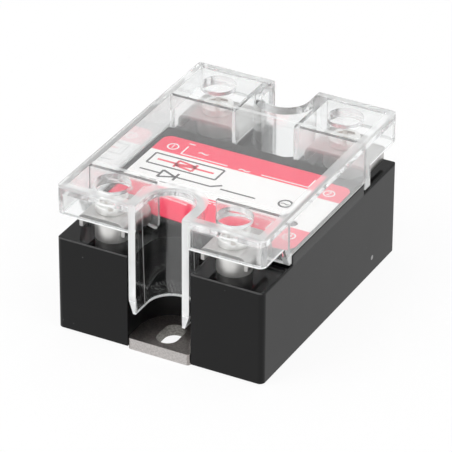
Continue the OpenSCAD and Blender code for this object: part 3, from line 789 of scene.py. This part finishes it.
def printed_film():
    finish, shader, place = new_finish("printed_film")
    y = place.axes()[1]
    red = (y > FAR_BAND).most(y < NEAR_BAND)
    fade = place.noise(900)
    white = fade.blend(colour(0.90, 0.90, 0.89), colour(0.94, 0.94, 0.93))
    scarlet = fade.blend(colour(0.88, 0.014, 0.075), colour(0.94, 0.02, 0.095))
    feed(shader, "Base Color", red.blend(white, scarlet))
    feed(shader, "Roughness", fade.between(0.28, 0.4))
    feed(shader, "Normal", bump(place, place.noise(300), 0.03, 0.02 * MM))
    return finish


dress(printed_film(), "label")

# %% [markdown]
# ## Lamp and inner parts
#
# The indicator is a grey diffused lens. The parts inside the closed case are never seen in this picture,
# but the part is reused, so each still gets a finish of its own kind: mottled ceramic, solder mask, bare
# copper, moulded epoxy.

# %% Small finishes
def mottled(name, dark, light, scale, low_rough, high_rough, metallic=0):
    """A finish of two near colours, mixed and roughened by one noise."""
    finish, shader, place = new_finish(name)
    spots = place.noise(scale, 3)
    feed(shader, "Base Color", spots.blend(colour(*dark), colour(*light)))
    feed(shader, "Roughness", spots.between(low_rough, high_rough))
    feed(shader, "Normal", bump(place, spots, 0.1, 0.01 * MM))
    shader.inputs["Metallic"].default_value = metallic
    return finish


dress(mottled("lamp_lens", (0.07, 0.07, 0.075), (0.12, 0.12, 0.125), 1500, 0.15, 0.25), "status_led")
dress(mottled("fired_alumina", (0.78, 0.77, 0.72), (0.90, 0.89, 0.85), 2500, 0.5, 0.7), "ceramic_substrate")
dress(mottled("silicon_die", (0.22, 0.23, 0.26), (0.34, 0.35, 0.38), 1800, 0.15, 0.3, 0.6),
      "thyristor_left", "thyristor_right")
dress(mottled("bare_copper", (0.62, 0.30, 0.17), (0.80, 0.46, 0.30), 1400, 0.25, 0.4, 1),
      "output_strap_left", "output_strap_right", "input_strap_left", "input_strap_right", "gate_leads")
dress(mottled("solder_mask", (0.02, 0.13, 0.05), (0.04, 0.20, 0.08), 1800, 0.2, 0.35), "circuit_board")
dress(mottled("moulded_epoxy", (0.015, 0.015, 0.017), (0.04, 0.04, 0.043), 3500, 0.45, 0.65),
      "optocoupler", "drive_transistor")
dress(mottled("dipped_film", (0.42, 0.16, 0.03), (0.56, 0.25, 0.06), 900, 0.15, 0.3), "snubber_capacitor")
dress(mottled("lacquered_body", (0.55, 0.44, 0.26), (0.70, 0.60, 0.40), 1600, 0.3, 0.45),
      "snubber_resistor", "input_resistor")
dress(mottled("cured_resin", (0.03, 0.03, 0.032), (0.06, 0.06, 0.064), 700, 0.35, 0.55), "potting_resin")

# %% [markdown]
# ## Printed marks
#
# Plain marks are printed over the film: a number in a ring for each terminal, waves for the alternating
# side, a bar over three dashes for the direct one, a plus and a minus, and the circuit in thin lines. Ink
# stands a hair above the film, so every mark is a thin mesh: bars are stretched cubes, a ring is a circle
# extruded inwards and then up, and a figure is a text object that is turned into a mesh before it is put
# in its place. Places and widths on the label are in millimetres.

# %% Print helpers
INK_RISE = 0.02 * MM
RING_SIDES = 40
ink_height = label_high.z + INK_RISE / 2


def stroke(start, end, width):
    """A straight bar of ink between two points of the label."""
    first = Vector((*start, 0)) * MM
    last = Vector((*end, 0)) * MM
    run = last - first
    bar = box_at("stroke", (run.length, width * MM, INK_RISE), (0, 0, 0))
    middle = (first + last) / 2
    turn = Matrix.Rotation(math.atan2(run.y, run.x), 4, "Z")
    bar.data.transform(Matrix.Translation((middle.x, middle.y, ink_height)) @ turn)
    return bar


def ring(middle, radius, width):
    """A ring of ink round a point of the label."""
    bpy.ops.object.select_all(action="DESELECT")
    bpy.ops.mesh.primitive_circle_add(vertices=RING_SIDES, radius=radius * MM, location=(0, 0, 0))
    band = bpy.context.object
    edit_all(band)
    bpy.ops.mesh.extrude_region_move()
    inner = (radius - width) / radius
    bpy.ops.transform.resize(value=(inner, inner, 1))
    bpy.ops.mesh.select_all(action="SELECT")
    bpy.ops.mesh.extrude_region_move(TRANSFORM_OT_translate={"value": (0, 0, INK_RISE)})
    face_outwards()
    band.data.transform(Matrix.Translation((middle[0] * MM, middle[1] * MM, label_high.z)))
    return band


def figure(sign, middle, height):
    """A printed figure of that height in the middle of a place on the label."""
    bpy.ops.object.select_all(action="DESELECT")
    bpy.ops.object.text_add(location=(0, 0, 0))
    shape = bpy.context.object
    shape.data.body = sign
    shape.data.size = height * MM
    shape.data.align_x = "CENTER"
    shape.data.align_y = "CENTER"
    shape.data.extrude = INK_RISE / 2
    bpy.ops.object.convert(target="MESH")
    shape = bpy.context.object
    shape.data.transform(Matrix.Translation((middle[0] * MM, middle[1] * MM, ink_height)))
    return shape


def print_on(name, marks, finish):
    """Joins marks into one mesh that rides on the label."""
    bpy.ops.object.select_all(action="DESELECT")
    for mark in marks:
        mark.data.materials.clear()
        mark.data.materials.append(finish)
        mark.select_set(True)
    bpy.context.view_layer.objects.active = marks[0]
    bpy.ops.object.join()
    sheet = bpy.context.object
    sheet.name = name
    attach(sheet, "housing")
    print(name, "has", len(sheet.data.polygons), "faces")


# %% White marks on the bands
RULE = 0.3
RING_RADIUS = 1.25
NUMBER_HEIGHT = 2.0
SIGN_HEIGHT = 3.0

terminals = (("1", (-16.3, 6.9)), ("2", (17.2, 6.9)), ("3", (-16.3, -11.4)), ("4", (17.8, -11.0)))
marks = []
for number, place in terminals:
    marks.append(ring(place, RING_RADIUS, RULE))
    marks.append(figure(number, place, NUMBER_HEIGHT))
for level, tip in ((5.1, 8.3), (-9.0, -12.4)):
    marks.append(stroke((-13.6, level), (-3.2, level), RULE))
    marks.append(stroke((4.2, level), (14.4, level), RULE))
    marks.append(stroke((-13.6, level), (-13.6, tip), RULE))
    marks.append(stroke((14.4, level), (14.4, tip), RULE))
marks.append(stroke((-14.0, 9.4), (-12.6, 9.4), RULE))
marks.append(figure("~", (0.5, 5.2), 4.5))
marks.append(figure("~", (-9.6, 7.2), 4.0))
marks.append(stroke((-1.2, -8.7), (2.2, -8.7), RULE))
for left in (-1.2, 0.1, 1.4):
    marks.append(stroke((left, -9.4), (left + 0.8, -9.4), RULE))
marks.append(figure("+", (-11.2, -11.2), SIGN_HEIGHT))
marks.append(figure("-", (12.2, -11.2), SIGN_HEIGHT))
white_ink = mottled("white_ink", (0.86, 0.86, 0.86), (0.94, 0.94, 0.94), 2000, 0.35, 0.5)
print_on("white_print", marks, white_ink)

# %% Circuit drawn on the white field
LINE = 0.42
BOLD = 0.5

marks = [ring((13.4, -2.6), 1.5, LINE), figure("~", (13.4, -2.6), 3.2)]
corners = ((-18.0, -0.9), (-2.8, -0.9), (-2.8, 3.2), (-18.0, 3.2))
for start, end in zip(corners, corners[1:] + corners[:1]):
    marks.append(stroke(start, end, LINE))
for left, right in ((-18.0, -13.4), (-9.9, -2.4), (-0.2, 7.4)):
    marks.append(stroke((left, -3.6), (right, -3.6), LINE))
upper, lower, tip = (-13.4, -2.2), (-13.4, -5.0), (-10.2, -3.6)
for start, end in ((upper, lower), (upper, tip), (lower, tip)):
    marks.append(stroke(start, end, BOLD))
marks.append(stroke((-10.0, -2.2), (-10.0, -5.0), BOLD))
marks.append(stroke((-2.4, -3.6), (-0.5, -2.2), BOLD))
for left in (-16.4, -14.2, -12.0, -9.8, -7.6, -5.4):
    marks.append(stroke((left, -6.4), (left + 1.4, -6.4), RULE))
black_ink = mottled("black_ink", (0.02, 0.02, 0.022), (0.05, 0.05, 0.053), 2000, 0.35, 0.5)
print_on("black_print", marks, black_ink)

# %% Two switches back to back, in red
BROAD = 0.55
HALF_BASE = 0.7

marks = [stroke((-16.6, 1.15), (-12.4, 1.15), BROAD), stroke((-8.4, 1.15), (-4.2, 1.15), BROAD)]
for across in (-12.4, -8.4):
    marks.append(stroke((across, -0.2), (across, 2.5), BROAD))
for tip, tail, level in ((-8.4, -12.4, 1.75), (-12.4, -8.4, 0.55)):
    marks.append(stroke((tail, level + HALF_BASE), (tip, level), BROAD))
    marks.append(stroke((tail, level - HALF_BASE), (tip, level), BROAD))
red_ink = mottled("red_ink", (0.80, 0.02, 0.06), (0.88, 0.03, 0.08), 2000, 0.35, 0.5)
print_on("red_print", marks, red_ink)
